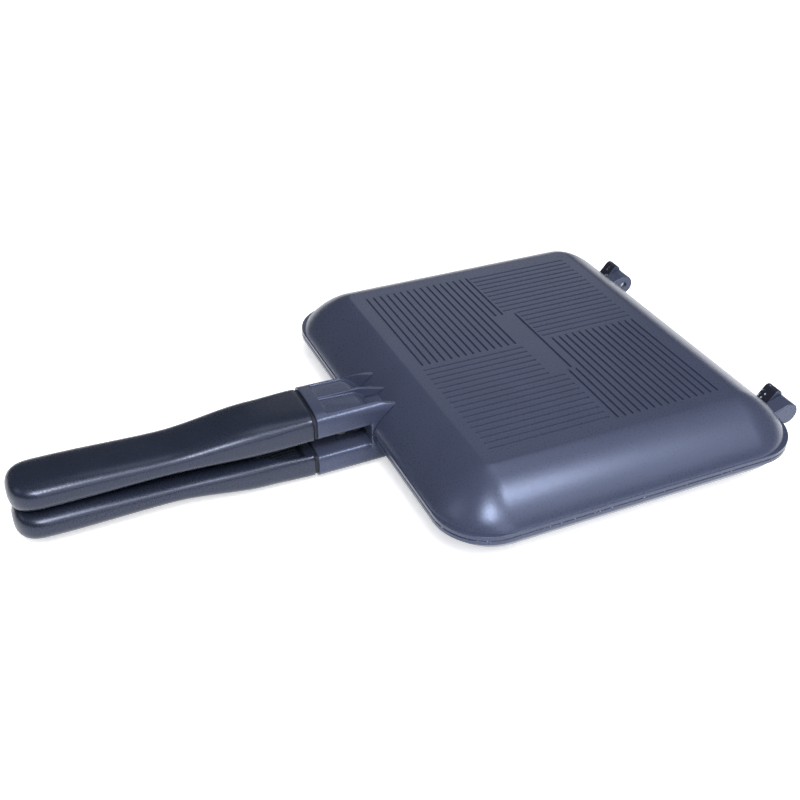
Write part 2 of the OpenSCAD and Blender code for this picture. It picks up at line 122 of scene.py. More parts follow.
class FlipPanHingeProps(bpy.types.PropertyGroup):
    axis_x: length("Axis", "Distance of the hinge axis from the tray's middle", 105.4)
    joint_y: length("Joint", "Distance of the joint between two lugs from the tray's middle", 74.6)
    lug_width: length("Lug width", "Width of one lug", 8.7)
    lug_gap: length("Lug gap", "Running gap between two lugs", 0.3)
    lug_edge: length("Lug edge", "Radius of the lugs' edges", 0.55)
    knuckle: length("Knuckle", "Outer radius of a lug's knuckle", 5.99)
    bore: length("Bore", "Radius of the bore for the pin", 2.05)
    skin: length("Skin", "Skin left over the near blind bore", 1.5)


class FlipPanHandleProps(bpy.types.PropertyGroup):
    bracket_half_width: length("Bracket half width", "Half width of a bracket at its collar", 17)
    tip_half_width: length("Tip half width", "Half width of a bracket at its fins' tips", 15.9)
    bracket_in: length("Bracket inner face", "Height of a bracket's inner face above the seam", 4.2)
    bracket_out: length("Bracket outer face", "Height of a bracket's fins above the seam", 18.9)
    outer_round: factor("Outer section", "Squareness of a bracket's outer side: 2 is an ellipse", 3.5, 2, 8)
    inner_round: factor("Inner section", "Squareness of a bracket's inner side: 2 is an ellipse", 5, 2, 8)
    fin_width: length("Fin width", "Width of the middle fin", 1.8)
    side_fin_width: length("Side fin width", "Width of the two side fins", 4)
    flute_depth: length("Flute depth", "Depth of the flutes at the collar", 0.95)
    cast_grain: length("Bracket mesh", "Size of the facets that soften the cast brackets", 0.32)
    face_x: length("Grip face", "Distance of the grip's face from the tray's middle", 127.1)
    grip_length: length("Grip length", "Length of a grip", 141.4)
    end_round: length("End round", "Length over which the end of the grip rounds off", 15)
    face_edge: length("Face edge", "Radius of the grip's edge at its spacer", 0.7)
    scoop_radius: length("Scoop radius", "Radius of the finger scoop's two long arcs", 30)
    scoop_half_width: length("Scoop half width", "Half width of the finger scoop", 13.6)
    scoop_floor: length("Scoop floor", "Height of the finger scoop's floor above the seam", 6.5)
    scoop_lip: length("Scoop lip", "Width of the scoop's rounded lip", 1.3)
    rib_height: length("Rib height", "Height of the fine ribs in the scoop", 0.3)
    rib_count: IntProperty(name="Ribs", description="Fine ribs in the scoop", default=4, min=0, max=8)


class FlipPanColourProps(bpy.types.PropertyGroup):
    coat: colour("Outer coat", "Satin coat outside the trays and on the brackets", "#373c4f")
    granite: colour("Granite ground", "Ground of the speckled non-stick", "#1c1f2b")
    fleck: colour("Granite flecks", "Flecks in the non-stick", "#d4d8e6")
    grip: colour("Grips", "Soft-touch phenolic of the grips", "#1b202d")
    spacer: colour("Spacers", "Heat spacers between brackets and grips", "#121419")
    steel: colour("Steel", "Stainless tangs, rivets, screws and pins", "#b9bcc0")
    nickel: colour("Magnets", "Nickel plate of the magnets", "#c3bfb6")
    cap: colour("Magnet caps", "Moulded caps over the magnets", "#17191e")


class FlipPanStageProps(bpy.types.PropertyGroup):
    floor: colour("Floor", "Plain pale floor", "#f4f5f7")
    world: colour("Surroundings", "Plain light from all round", "#dfe3ea")
    floor_lift: factor("Floor lift", "Light that the floor adds where it is seen, to reach white", 0.56, 0, 2)
    world_level: factor("Surrounding light", "Strength of the light from all round", 0.15, 0, 2)
    lamp_level: factor("Lamp level", "Factor on the power of every soft lamp", 1, 0, 5)
    focal: length("Focal length", "Focal length of the camera on a 36 mm sensor", 48.15)


def in_mm(group):
    """A property group's values with its lengths in millimetres."""
    kept = [p for p in group.bl_rna.properties if p.identifier not in {"rna_type", "name"}]
    return SimpleNamespace(**{p.identifier: getattr(group, p.identifier) * (1000 if p.unit == "LENGTH" else 1)
                              for p in kept if not getattr(p, "is_array", False)})


# ---------------------------------------------------------------- materials

# Sockets of a Mix node that share a name, by number
MIX_FACTOR, VECTOR_A, VECTOR_B, COLOUR_A, COLOUR_B = 0, 4, 5, 6, 7
VECTOR_RESULT, COLOUR_RESULT = 1, 2


def add_node(tree, kind, settings=None, values=None, links=None):
    """Adds a shader node with its settings and socket values, and joins (node, output) pairs to its inputs."""
    made = tree.nodes.new(kind)
    for key, value in (settings or {}).items():
        setattr(made, key, value)
    for key, value in (values or {}).items():
        made.inputs[key].default_value = value
    for key, (source, output) in (links or {}).items():
        tree.links.new(source.outputs[output], made.inputs[key])
    return made


def limits(from_low, from_high, to_low, to_high):
    """The values of a Map Range node."""
    return {"From Min": from_low, "From Max": from_high, "To Min": to_low, "To Max": to_high}


def new_material(name):
    """An empty node material with the given name."""
    made = bpy.data.materials.new(name)
    made.use_nodes = True
    made.node_tree.nodes.clear()
    return made


def satin_sprayed_coat():
    """Satin coat sprayed over a blasted aluminium casting: broad soft sheen and a faint orange peel."""
    colours = bpy.context.scene.flip_pan_colours
    made = new_material("satin_sprayed_coat")
    tree = made.node_tree
    place = add_node(tree, "ShaderNodeTexCoord")
    # Cloudiness of the coat's pigment, about 18 mm across
    clouds = add_node(tree, "ShaderNodeTexNoise", values={"Scale": 55, "Detail": 3, "Roughness": 0.5},
                      links={"Vector": (place, "Object")})
    # Orange peel of the spray, 0.9 mm across, with a blasted grain of 0.3 mm under it
    peel = add_node(tree, "ShaderNodeTexNoise", values={"Scale": 1100, "Detail": 2.5, "Roughness": 0.6},
                    links={"Vector": (place, "Object")})
    ground = add_node(tree, "ShaderNodeMix", settings={"data_type": "RGBA"},
                      values={COLOUR_A: (*[c * 0.92 for c in colours.coat], 1),
                              COLOUR_B: (*[c * 1.1 for c in colours.coat], 1)},
                      links={MIX_FACTOR: (clouds, "Fac")})
    gloss = add_node(tree, "ShaderNodeMapRange", values=limits(0.3, 0.7, 0.26, 0.32), links={"Value": (peel, "Fac")})
    relief = add_node(tree, "ShaderNodeBump", values={"Strength": 0.35, "Distance": 0.00005},
                      links={"Height": (peel, "Fac")})
    shader = add_node(tree, "ShaderNodeBsdfPrincipled",
                      values={"IOR": 1.5, "Specular IOR Level": 0.63, "Specular Tint": (*linear("#cad9ff"), 1)},
                      links={"Base Color": (ground, COLOUR_RESULT), "Roughness": (gloss, 0), "Normal": (relief, 0)})
    add_node(tree, "ShaderNodeOutputMaterial", links={"Surface": (shader, 0)})
    return made


def granite_nonstick():
    """Speckled granite non-stick, sprayed in layers: near black ground with white flecks of 0.5 to 2 mm."""
    colours = bpy.context.scene.flip_pan_colours
    made = new_material("granite_nonstick")
    tree = made.node_tree
    place = add_node(tree, "ShaderNodeTexCoord")
    # The flecks' ragged outline
    ragged = add_node(tree, "ShaderNodeTexNoise", values={"Scale": 900, "Detail": 2, "Roughness": 0.6},
                      links={"Vector": (place, "Object")})
    bent = add_node(tree, "ShaderNodeMix", settings={"data_type": "VECTOR"}, values={MIX_FACTOR: 0.0006},
                    links={VECTOR_A: (place, "Object"), VECTOR_B: (ragged, "Color")})
    masks = []
    # Large flecks 3.2 mm apart and small ones 1.5 mm apart; a cell's own random value sets its fleck's size
    for scale, least, most in ((310, 0.02, 0.42), (680, 0.02, 0.4)):
        cells = add_node(tree, "ShaderNodeTexVoronoi", values={"Scale": scale, "Randomness": 1},
                         links={"Vector": (bent, VECTOR_RESULT)})
        size = add_node(tree, "ShaderNodeMapRange", values=limits(0.35, 1, least, most),
                        links={"Value": (cells, "Color")})
        mask = add_node(tree, "ShaderNodeMath", settings={"operation": "SUBTRACT"},
                        links={0: (size, 0), 1: (cells, "Distance")})
        masks.append(add_node(tree, "ShaderNodeMapRange", values=limits(0, 0.06, 0, 1), links={"Value": (mask, 0)}))
    flecks = add_node(tree, "ShaderNodeMath", settings={"operation": "MAXIMUM"},
                      links={0: (masks[0], 0), 1: (masks[1], 0)})
    ground = add_node(tree, "ShaderNodeMix", settings={"data_type": "RGBA"},
                      values={COLOUR_A: (*colours.granite, 1), COLOUR_B: (*colours.fleck, 1)},
                      links={MIX_FACTOR: (flecks, 0)})
    gloss = add_node(tree, "ShaderNodeMapRange", values=limits(0, 1, 0.42, 0.55), links={"Value": (flecks, 0)})
    relief = add_node(tree, "ShaderNodeBump", values={"Strength": 0.4, "Distance": 0.00006},
                      links={"Height": (ragged, "Fac")})
    shader = add_node(tree, "ShaderNodeBsdfPrincipled", values={"IOR": 1.45},
                      links={"Base Color": (ground, COLOUR_RESULT), "Roughness": (gloss, 0), "Normal": (relief, 0)})
    add_node(tree, "ShaderNodeOutputMaterial", links={"Surface": (shader, 0)})
    return made


def grained_plastic(name, code, grain_mm, depth_mm, rough):
    """Moulded plastic or rubber with a spark-eroded grain: dull, with a highlight broken into fine points."""
    made = new_material(name)
    tree = made.node_tree
    place = add_node(tree, "ShaderNodeTexCoord")
    grain = add_node(tree, "ShaderNodeTexNoise", values={"Scale": 1000 / grain_mm, "Detail": 2, "Roughness": 0.55},
                     links={"Vector": (place, "Object")})
    wear = add_node(tree, "ShaderNodeTexNoise", values={"Scale": 70, "Detail": 3, "Roughness": 0.55},
                    links={"Vector": (place, "Object")})
    ground = add_node(tree, "ShaderNodeMix", settings={"data_type": "RGBA"},
                      values={COLOUR_A: (*[c * 0.85 for c in code], 1),
                              COLOUR_B: (*[min(1, c * 1.2) for c in code], 1)},
                      links={MIX_FACTOR: (wear, "Fac")})
    gloss = add_node(tree, "ShaderNodeMapRange", values=limits(0.35, 0.65, rough - 0.06, rough + 0.08),
                     links={"Value": (grain, "Fac")})
    relief = add_node(tree, "ShaderNodeBump", values={"Strength": 0.6, "Distance": depth_mm / 1000},
                      links={"Height": (grain, "Fac")})
    shader = add_node(tree, "ShaderNodeBsdfPrincipled",
                      values={"IOR": 1.5, "Specular IOR Level": 0.6, "Specular Tint": (*linear("#d9e1ff"), 1)},
                      links={"Base Color": (ground, COLOUR_RESULT), "Roughness": (gloss, 0), "Normal": (relief, 0)})
    add_node(tree, "ShaderNodeOutputMaterial", links={"Surface": (shader, 0)})
    return made


def plain_metal(name, code, rough, brushed):
    """Bright metal with fine drawn or plated scratches, stretched along X by the brushed factor."""
    made = new_material(name)
    tree = made.node_tree
    place = add_node(tree, "ShaderNodeTexCoord")
    along = add_node(tree, "ShaderNodeMapping", values={"Scale": (1 / brushed, 1, 1)},
                     links={"Vector": (place, "Object")})
    # Scratches 0.25 mm apart
    marks = add_node(tree, "ShaderNodeTexNoise", values={"Scale": 4000, "Detail": 2, "Roughness": 0.6},
                     links={"Vector": (along, 0)})
    tint = add_node(tree, "ShaderNodeMix", settings={"data_type": "RGBA"},
                    values={COLOUR_A: (*[c * 0.88 for c in code], 1), COLOUR_B: (*code, 1)},
                    links={MIX_FACTOR: (marks, "Fac")})
    gloss = add_node(tree, "ShaderNodeMapRange", values=limits(0.3, 0.7, rough - 0.05, rough + 0.08),
                     links={"Value": (marks, "Fac")})
    relief = add_node(tree, "ShaderNodeBump", values={"Strength": 0.15, "Distance": 0.00001},
                      links={"Height": (marks, "Fac")})
    shader = add_node(tree, "ShaderNodeBsdfPrincipled", values={"Metallic": 1.0},
                      links={"Base Color": (tint, COLOUR_RESULT), "Roughness": (gloss, 0), "Normal": (relief, 0)})
    add_node(tree, "ShaderNodeOutputMaterial", links={"Surface": (shader, 0)})
    return made


def material(name):
    """The named finish, made once."""
    colours = bpy.context.scene.flip_pan_colours
    makers = {
        "satin_sprayed_coat": satin_sprayed_coat,
        "granite_nonstick": granite_nonstick,
        # Grain 0.55 mm across, drawn coarser than the real 0.2 mm so that it shows
        "soft_touch_phenolic": lambda: grained_plastic("soft_touch_phenolic", colours.grip, 0.55, 0.04, 0.28),
        "heat_resistant_rubber": lambda: grained_plastic("heat_resistant_rubber", colours.spacer, 0.5, 0.03, 0.7),
        "moulded_cap_plastic": lambda: grained_plastic("moulded_cap_plastic", colours.cap, 0.4, 0.02, 0.45),
        "drawn_stainless_steel": lambda: plain_metal("drawn_stainless_steel", colours.steel, 0.3, 12),
        "nickel_plate": lambda: plain_metal("nickel_plate", colours.nickel, 0.18, 1),
    }
    return bpy.data.materials.get(name) or makers[name]()


# ---------------------------------------------------------------- mesh tools

def finish_piece(bm, name, half, materials, node, sharp=38, weighted=True):
    """Sets a mesh drawn in millimetres in its half's place, as a piece that stands for a CAD node."""
    bmesh.ops.transform(bm, matrix=PLACES[half], verts=bm.verts)
    mesh = bpy.data.meshes.new(name)
    bm.to_mesh(mesh)
    bm.free()
    for finish in materials:
        mesh.materials.append(material(finish))
    mesh.shade_smooth()
    mesh.set_sharp_from_angle(angle=math.radians(sharp))
    piece = bpy.data.objects.new(name, mesh)
    bpy.context.scene.collection.objects.link(piece)
    if weighted:
        normals = piece.modifiers.new("Even shading", "WEIGHTED_NORMAL")
        normals.keep_sharp = True
    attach(piece, half + "_half")
    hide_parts(node)
    return piece


def through_modifiers(bm, setup):
    """Runs a mesh through the modifiers that setup puts on it, and gives the result as a new mesh."""
    mesh = bpy.data.meshes.new("blank")
    bm.to_mesh(mesh)
    bm.free()
    blank = bpy.data.objects.new("blank", mesh)
    bpy.context.scene.collection.objects.link(blank)
    setup(blank)
    shaped = bpy.data.meshes.new_from_object(blank.evaluated_get(bpy.context.evaluated_depsgraph_get()))
    made = bmesh.new()
    made.from_mesh(shaped)
    bpy.data.objects.remove(blank)
    bpy.data.meshes.remove(mesh)
    bpy.data.meshes.remove(shaped)
    return made


def carve(bm, cutter, operation="DIFFERENCE"):
    """Cuts the closed forms in cutter out of bm, or keeps only what lies inside them."""
    mesh = bpy.data.meshes.new("cutter")
    cutter.to_mesh(mesh)
    cutter.free()
    tool = bpy.data.objects.new("cutter", mesh)
    bpy.context.scene.collection.objects.link(tool)

    def setup(blank):
        cut = blank.modifiers.new("Cut", "BOOLEAN")
        cut.operation, cut.solver, cut.object = operation, "EXACT", tool

    made = through_modifiers(bm, setup)
    bpy.data.objects.remove(tool)
    bpy.data.meshes.remove(mesh)
    return made


def add_cylinder(bm, start, end, radius, segments=48):
    """A closed cylinder from start to end."""
    run = Vector(end) - Vector(start)
    turn = run.to_track_quat("Z", "Y").to_matrix().to_4x4()
    bmesh.ops.create_cone(bm, cap_ends=True, segments=segments, radius1=radius, radius2=radius, depth=run.length,
                          matrix=Matrix.Translation((Vector(start) + Vector(end)) / 2) @ turn)


def add_copy(bm, part):
    """Adds the mesh of part to bm."""
    mesh = bpy.data.meshes.new("part")
    part.to_mesh(mesh)
    part.free()
    bm.from_mesh(mesh)
    bpy.data.meshes.remove(mesh)


def extrude_ring(bm, edges):
    """Extrudes a closed ring of edges in place and gives the new ring's vertices and edges."""
    made = bmesh.ops.extrude_edge_only(bm, edges=edges)["geom"]
    verts = [g for g in made if isinstance(g, bmesh.types.BMVert)]
    inside = set(verts)
    ring = [g for g in made if isinstance(g, bmesh.types.BMEdge) and inside.issuperset(g.verts)]
    return verts, ring


def off_round_box(x, y, half_x, half_y, corner):
    """Distance of a point outside a rectangle with round corners, negative inside it."""
    qx, qy = abs(x) - half_x + corner, abs(y) - half_y + corner
    return math.hypot(max(qx, 0), max(qy, 0)) + min(max(qx, qy), 0) - corner


# ---------------------------------------------------------------- trays

def slope(run, low, high, bow, steps):
    """Points (inset, z) of a slope from its foot to its top, on a superellipse."""
    points = []
    for i in range(steps + 1):
        angle = math.pi / 2 * i / steps
        points.append((run * (1 - max(0, math.cos(angle)) ** (2 / bow)),
                       low + (high - low) * math.sin(angle) ** (2 / bow)))
    return points


def groove_lines(s):
    """Middle lines (x0, y0, x1, y1) of the four fields of grooves round the bare patch, seen from outside."""
    # Grooves on each side of the middle, and how far they reach towards the flat face's edge
    count_x, count_y = 15, 17
    reach_x, reach_y = (count_x + 0.3) * s.pitch_x, (count_y + 0.1) * s.pitch_y
    half_l, half_w = s.patch_length / 2, s.patch_width / 2
    lines = []
    for i in range(-count_x, 1):
        x = i * s.pitch_x
        lines.append((x, half_l if x > -half_w else 0.4 * s.pitch_y, x, reach_y))
    for i in range(1, count_x + 1):
        x = i * s.pitch_x
        lines.append((x, -reach_y, x, -half_l if x - s.pitch_x < half_w else -0.2 * s.pitch_y))
    for i in range(1, count_y + 1):
        y = (i - 0.3) * s.pitch_y
        lines.append((half_w + 0.3 * s.pitch_x if y < half_l else 0.6 * s.pitch_x, y, reach_x, y))
        lines.append((-reach_x, -y, -half_w + 0.2 * s.pitch_x if y < half_l else 0, -y))
    x = half_w - 0.25 * s.pitch_x
    lines.append((x, -half_l + s.pitch_y / 2, x, half_l - s.pitch_y / 2))
    return lines


def sink_groove(tray, line, s):
    """Adds one groove with round ends and a round bottom below the tray's flat face, its mouth left open."""
    bm = bmesh.new()
    start, end = Vector((line[0], line[1], s.tray_height)), Vector((line[2], line[3], s.tray_height))
    half, edge, deep = s.groove_width / 2, s.groove_edge, s.groove_depth
    # Half widths and depths from the mouth down
    steps = [(half + edge, 0), (half + 0.3 * edge, 0.25 * edge), (half, edge), (half - 0.03, 0.62 * deep),
             (half * 0.7, 0.92 * deep), (half * 0.3, deep)]
    sides = 16
    turned = Matrix.Translation(start) @ Matrix.Rotation(math.pi / sides, 4, "Z")
    verts = bmesh.ops.create_circle(bm, cap_ends=False, segments=sides, matrix=turned,
                                    radius=steps[0][0] / math.cos(math.pi / sides))["verts"]
    run = end - start
    bmesh.ops.translate(bm, vec=run, verts=[v for v in verts if (v.co - start).dot(run) > 0])
    ring, middle = bm.edges[:], (start + end) / 2
    for (wide, high), (narrow, low) in zip(steps, steps[1:]):
        verts, ring = extrude_ring(bm, ring)
        for centre, side in ((start, -1), (end, 1)):
            bmesh.ops.scale(bm, vec=(narrow / wide, narrow / wide, 1), space=Matrix.Translation(-centre),
                            verts=[v for v in verts if (v.co - middle).dot(run) * side > 0])
        bmesh.ops.translate(bm, vec=(0, 0, high - low), verts=verts)
    bmesh.ops.edgeloop_fill(bm, edges=ring)
    add_copy(tray, bm)


def tray_shell(s):
    """A tray's wall, rim and grooved floor as one closed shell: material 0 outside and 1 inside."""
    half_x, half_y = s.tray_length / 2, s.tray_width / 2
    corner = s.crown_corner
    low = s.seam_gap / 2
    cx, cy = half_x - s.rim_step - corner, half_y - s.rim_step - corner
    wall = s.rim_wall
    outer = [(corner - inset, z) for inset, z in slope(s.crown_run, s.rim_height, s.tray_height, s.crown_bow, 28)]
    inner = [(corner - wall - inset, z)
             for inset, z in slope(s.crown_run - wall, low, s.tray_height - s.floor, s.crown_bow, 24)]
    flat = outer[-1][0] - 1
    points = [(flat, s.tray_height), *outer[::-1], (corner + s.rim_step, s.rim_height), (corner + s.rim_step, low),
              *inner, (flat, s.tray_height - s.floor)]

    bm = bmesh.new()
    verts = [bm.verts.new((cx + r, cy, z)) for r, z in points]
    section = [bm.edges.new(pair) for pair in zip(verts, verts[1:])]
    last = bmesh.ops.spin(bm, geom=verts + section, cent=(cx, cy, 0), axis=(0, 0, 1), angle=math.pi / 2,
                          steps=24)["geom_last"]
    last_edges = [g for g in last if isinstance(g, bmesh.types.BMEdge)]
    # The rim's corner is tighter than the crown's, so the rim stands out round the corner
    spare = corner + s.rim_step - s.rim_corner
    for v in bm.verts:
        x, y = v.co.x - cx, v.co.y - cy
        r = math.hypot(x, y)
        if r > corner + 0.03:
            v.co.x += spare * (1 - x / r)
            v.co.y += spare * (1 - y / r)
    for edges, axis in ((section, 1), (last_edges, 0)):
        for v in extrude_ring(bm, edges)[0]:
            v.co[axis] = 0
    for axis in "XY":
        bmesh.ops.mirror(bm, geom=bm.verts[:] + bm.edges[:] + bm.faces[:], merge_dist=0.001, axis=axis)
    bmesh.ops.remove_doubles(bm, verts=bm.verts, dist=0.001)
    bmesh.ops.recalc_face_normals(bm, faces=bm.faces)

    def on_rim(v):
        x, y, z = v.co
        return (abs(off_round_box(x, y, half_x, half_y, s.rim_corner)) < 0.01
                or (z < low + 0.01 and abs(off_round_box(
                    x, y, half_x - s.rim_step - wall, half_y - s.rim_step - wall, corner - wall)) < 0.01))

    level = [e for e in bm.edges if abs(e.verts[0].co.z - e.verts[1].co.z) < 0.001 and all(map(on_rim, e.verts))]
    bmesh.ops.bevel(bm, geom=level, offset=s.rim_edge, offset_type="OFFSET", segments=3, profile=0.5,
                    affect="EDGES", material=-1, clamp_overlap=True)

    def open_ring(z):
        return [e for e in bm.edges if e.is_boundary and abs(e.verts[0].co.z - z) < 0.01]

    bmesh.ops.edgeloop_fill(bm, edges=open_ring(s.tray_height - s.floor))
    for line in groove_lines(s):
        sink_groove(bm, line, s)
    bmesh.ops.triangle_fill(bm, use_beauty=True, use_dissolve=False, edges=open_ring(s.tray_height),
                            normal=(0, 0, 1))
    bmesh.ops.recalc_face_normals(bm, faces=bm.faces)
    for face in bm.faces:
        spot = face.calc_center_median()
        inward = face.normal.x * spot.x + face.normal.y * spot.y < 0
        face.material_index = int(spot.z < s.tray_height - 1.5 and (face.normal.z < -0.9 or inward))
    return bm


def tray_boss():
    """The boss on a tray that its bracket is screwed to, with the two screws' holes."""
    outer_x, foot_x, head_x = -112, -91.9, -84.6
    low, high, width = 5, 12.4, 16
    seat, recess_r, shank_r = 7, 3, 1.6
    bm = bmesh.new()
    for v in bmesh.ops.create_cube(bm, size=1)["verts"]:
        up = v.co.z > 0
        v.co = (outer_x if v.co.x < 0 else head_x if up else foot_x, v.co.y * width, high if up else low)
    outer_end = [e for e in bm.edges if all(v.co.x < foot_x - 1 for v in e.verts)]
    bmesh.ops.bevel(bm, geom=outer_end, offset=0.7, offset_type="OFFSET", segments=3, profile=0.5, affect="EDGES",
                    material=-1)
    holes = bmesh.new()
    for x in (-108.2, -100):
        add_cylinder(holes, (x, 0, low - 1), (x, 0, seat), recess_r)
        add_cylinder(holes, (x, 0, seat - 0.5), (x, 0, high + 0.6), shank_r)
    return carve(bm, holes)


class FLIPPAN_OT_trays(bpy.types.Operator):
    """Both trays: cast shells with grooved outer faces, and the bosses that carry the brackets"""
    bl_idname = "flip_pan.trays"
    bl_label = "Trays"

    def execute(self, context):
        s = in_mm(context.scene.flip_pan_trays)
        for half in ("top", "bottom"):
            finish_piece(tray_shell(s), half + "_tray_shell", half, ["satin_sprayed_coat", "granite_nonstick"],
                         half + "_tray")
            finish_piece(tray_boss(), half + "_tray_boss", half, ["satin_sprayed_coat"],
                         half + "_tray")
        return {"FINISHED"}


# ---------------------------------------------------------------- hinge lugs

def arc(centre, radius, start, end, step=6):
    """Points (x, z) on an arc between two angles in degrees."""
    count = max(2, round(abs(end - start) / step))
    angles = [math.radians(start + (end - start) * i / count) for i in range(count + 1)]
    return [(centre[0] + radius * math.cos(a), centre[1] + radius * math.sin(a)) for a in angles]


def lug(outline, y0, s, bore):
    """A lug: its outline in the XZ plane extruded along Y, its edges rounded and bored from bore[0] to bore[1]."""
    bm = bmesh.new()
    face = bm.faces.new([bm.verts.new((x, y0, z)) for x, z in outline])
    made = bmesh.ops.extrude_face_region(bm, geom=[face])["geom"]
    bmesh.ops.translate(bm, vec=(0, s.lug_width, 0), verts=[g for g in made if isinstance(g, bmesh.types.BMVert)])
    bmesh.ops.recalc_face_normals(bm, faces=bm.faces)
    sides = [f for f in bm.faces if abs(f.normal.y) > 0.9]
    bmesh.ops.bevel(bm, geom=list({e for f in sides for e in f.edges}), offset=s.lug_edge, offset_type="OFFSET",
                    segments=3, profile=0.5, affect="EDGES", material=-1, clamp_overlap=True)
    hole = bmesh.new()
    add_cylinder(hole, (s.axis_x, bore[0], 0), (s.axis_x, bore[1], 0), s.bore)
    return carve(bm, hole)


class FLIPPAN_OT_hinge_lugs(bpy.types.Operator):
    """The hinge lugs: plain ones on the upper tray and eared, speckled ones on the lower tray"""
    bl_idname = "flip_pan.hinge_lugs"
    bl_label = "Hinge lugs"

    def execute(self, context):
        s = in_mm(context.scene.flip_pan_hinges)
        axis = (s.axis_x, 0)
        # The rim's edge, the end of the lug's root inside the rim, and half the gap between the closed rims
        rim, root, seam = 96.5, 90.5, 0.15
        plain = [*arc(axis, s.knuckle, -132, 105), (rim, 3.2), (root, 2.4), (root, seam), (rim + 1.2, seam)]
        ear_r = 0.44 * s.knuckle
        ear = (s.axis_x - 0.2, s.axis_x - rim - 0.3 - ear_r)
        # The ear rises from the knuckle where it crosses the ear's outer side
        meet = math.degrees(math.acos((ear[0] + ear_r - s.axis_x) / s.knuckle))
        eared = [*arc(axis, s.knuckle, -105, meet), *arc(ear, ear_r, 0, 135), (rim + 2, 2), (rim + 0.7, -seam),
                 (root, -seam), (root, -2.4), (rim, -3.2)]
        for side, joint in (("near", -s.joint_y), ("far", s.joint_y)):
            y0 = joint - s.lug_gap / 2 - s.lug_width
            blind = s.skin if side == "near" else -1
            finish_piece(lug(plain, y0, s, (y0 + blind, y0 + s.lug_width + 1)), "top_lug_" + side, "top",
                         ["satin_sprayed_coat"], "top_tray")
            y0 = joint + s.lug_gap / 2
            made = lug(eared, y0, s, (y0 - 1, y0 + s.lug_width + 1))
            for face in made.faces:
                face.material_index = int(abs(face.normal.y) < 0.6)
            # Drawn in the upper tray's frame, with its ear up, and ridden by the lower half
            piece = finish_piece(made, "bottom_lug_" + side, "top", ["satin_sprayed_coat", "granite_nonstick"],
                                 "bottom_tray")
            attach(piece, "bottom_half")
        return {"FINISHED"}


# ---------------------------------------------------------------- brackets

def section_drop(y, s):
    """How far the bracket's rounded section falls below its crown at y."""
    high = (s.bracket_out - s.bracket_in) / 2
    return high * (1 - (1 - min(1, abs(y) / s.bracket_half_width) ** s.outer_round) ** (1 / s.outer_round))


def sleeve(s):
    """A bar of the bracket's rounded section, from its collar to its narrower tips."""
    collar_x, run = -127.5, 44
    bm = bmesh.new()
    ring = bmesh.ops.create_circle(bm, cap_ends=True, segments=96, radius=1)["verts"]
    middle, high = (s.bracket_out + s.bracket_in) / 2, (s.bracket_out - s.bracket_in) / 2
    for v in ring:
        c, n, _ = v.co
        power = s.outer_round if n > 0 else s.inner_round
        k = (abs(c) ** power + abs(n) ** power) ** (-1 / power)
        v.co = (collar_x, s.bracket_half_width * c * k, middle + high * n * k)
    made = bmesh.ops.extrude_face_region(bm, geom=bm.faces[:])["geom"]
    tip = [g for g in made if isinstance(g, bmesh.types.BMVert)]
    bmesh.ops.translate(bm, vec=(run, 0, 0), verts=tip)
    bmesh.ops.scale(bm, vec=(1, s.tip_half_width / s.bracket_half_width, 1), verts=tip)
    bmesh.ops.recalc_face_normals(bm, faces=bm.faces)
    return bm


def flute(s, side):
    """The cutter of one flute: its floor follows the bracket's crown and bends down to the tray in one sweep."""
    bm = bmesh.new()
    bmesh.ops.create_grid(bm, x_segments=28, y_segments=14, size=1)
    low, high = s.fin_width / 2, s.bracket_half_width - s.side_fin_width
    # Where the flute starts, bends down and ends, its slight fall per mm, and its drop at the bent end
    start, bend, end, fall, drop = -119.9, -104, -91.6, 0.02, 9
    above = 22
    for v in bm.verts:
        t, y = (v.co.x + 1) / 2, side * (low + (high - low) * (v.co.y + 1) / 2)
        x = start + (end - start) * t
        floor = s.bracket_out - s.flute_depth - fall * (x - start) - drop * (max(0, x - bend) / (end - bend)) ** 2
        v.co = (x, y, floor - section_drop(y, s)) if t > 0.001 else (start - 0.6, y, s.bracket_out + 0.3)
    made = bmesh.ops.extrude_face_region(bm, geom=bm.faces[:])["geom"]
    for v in (g for g in made if isinstance(g, bmesh.types.BMVert)):
        v.co.z = above
    bmesh.ops.recalc_face_normals(bm, faces=bm.faces)
    corner = [e for e in bm.edges if all(v.co.x < start and abs(v.co.y) > high - 0.1 for v in e.verts)]
    bmesh.ops.bevel(bm, geom=corner, offset=2.4, offset_type="OFFSET", segments=4, profile=0.5, affect="EDGES",
                    material=-1, clamp_overlap=True)
    return bm


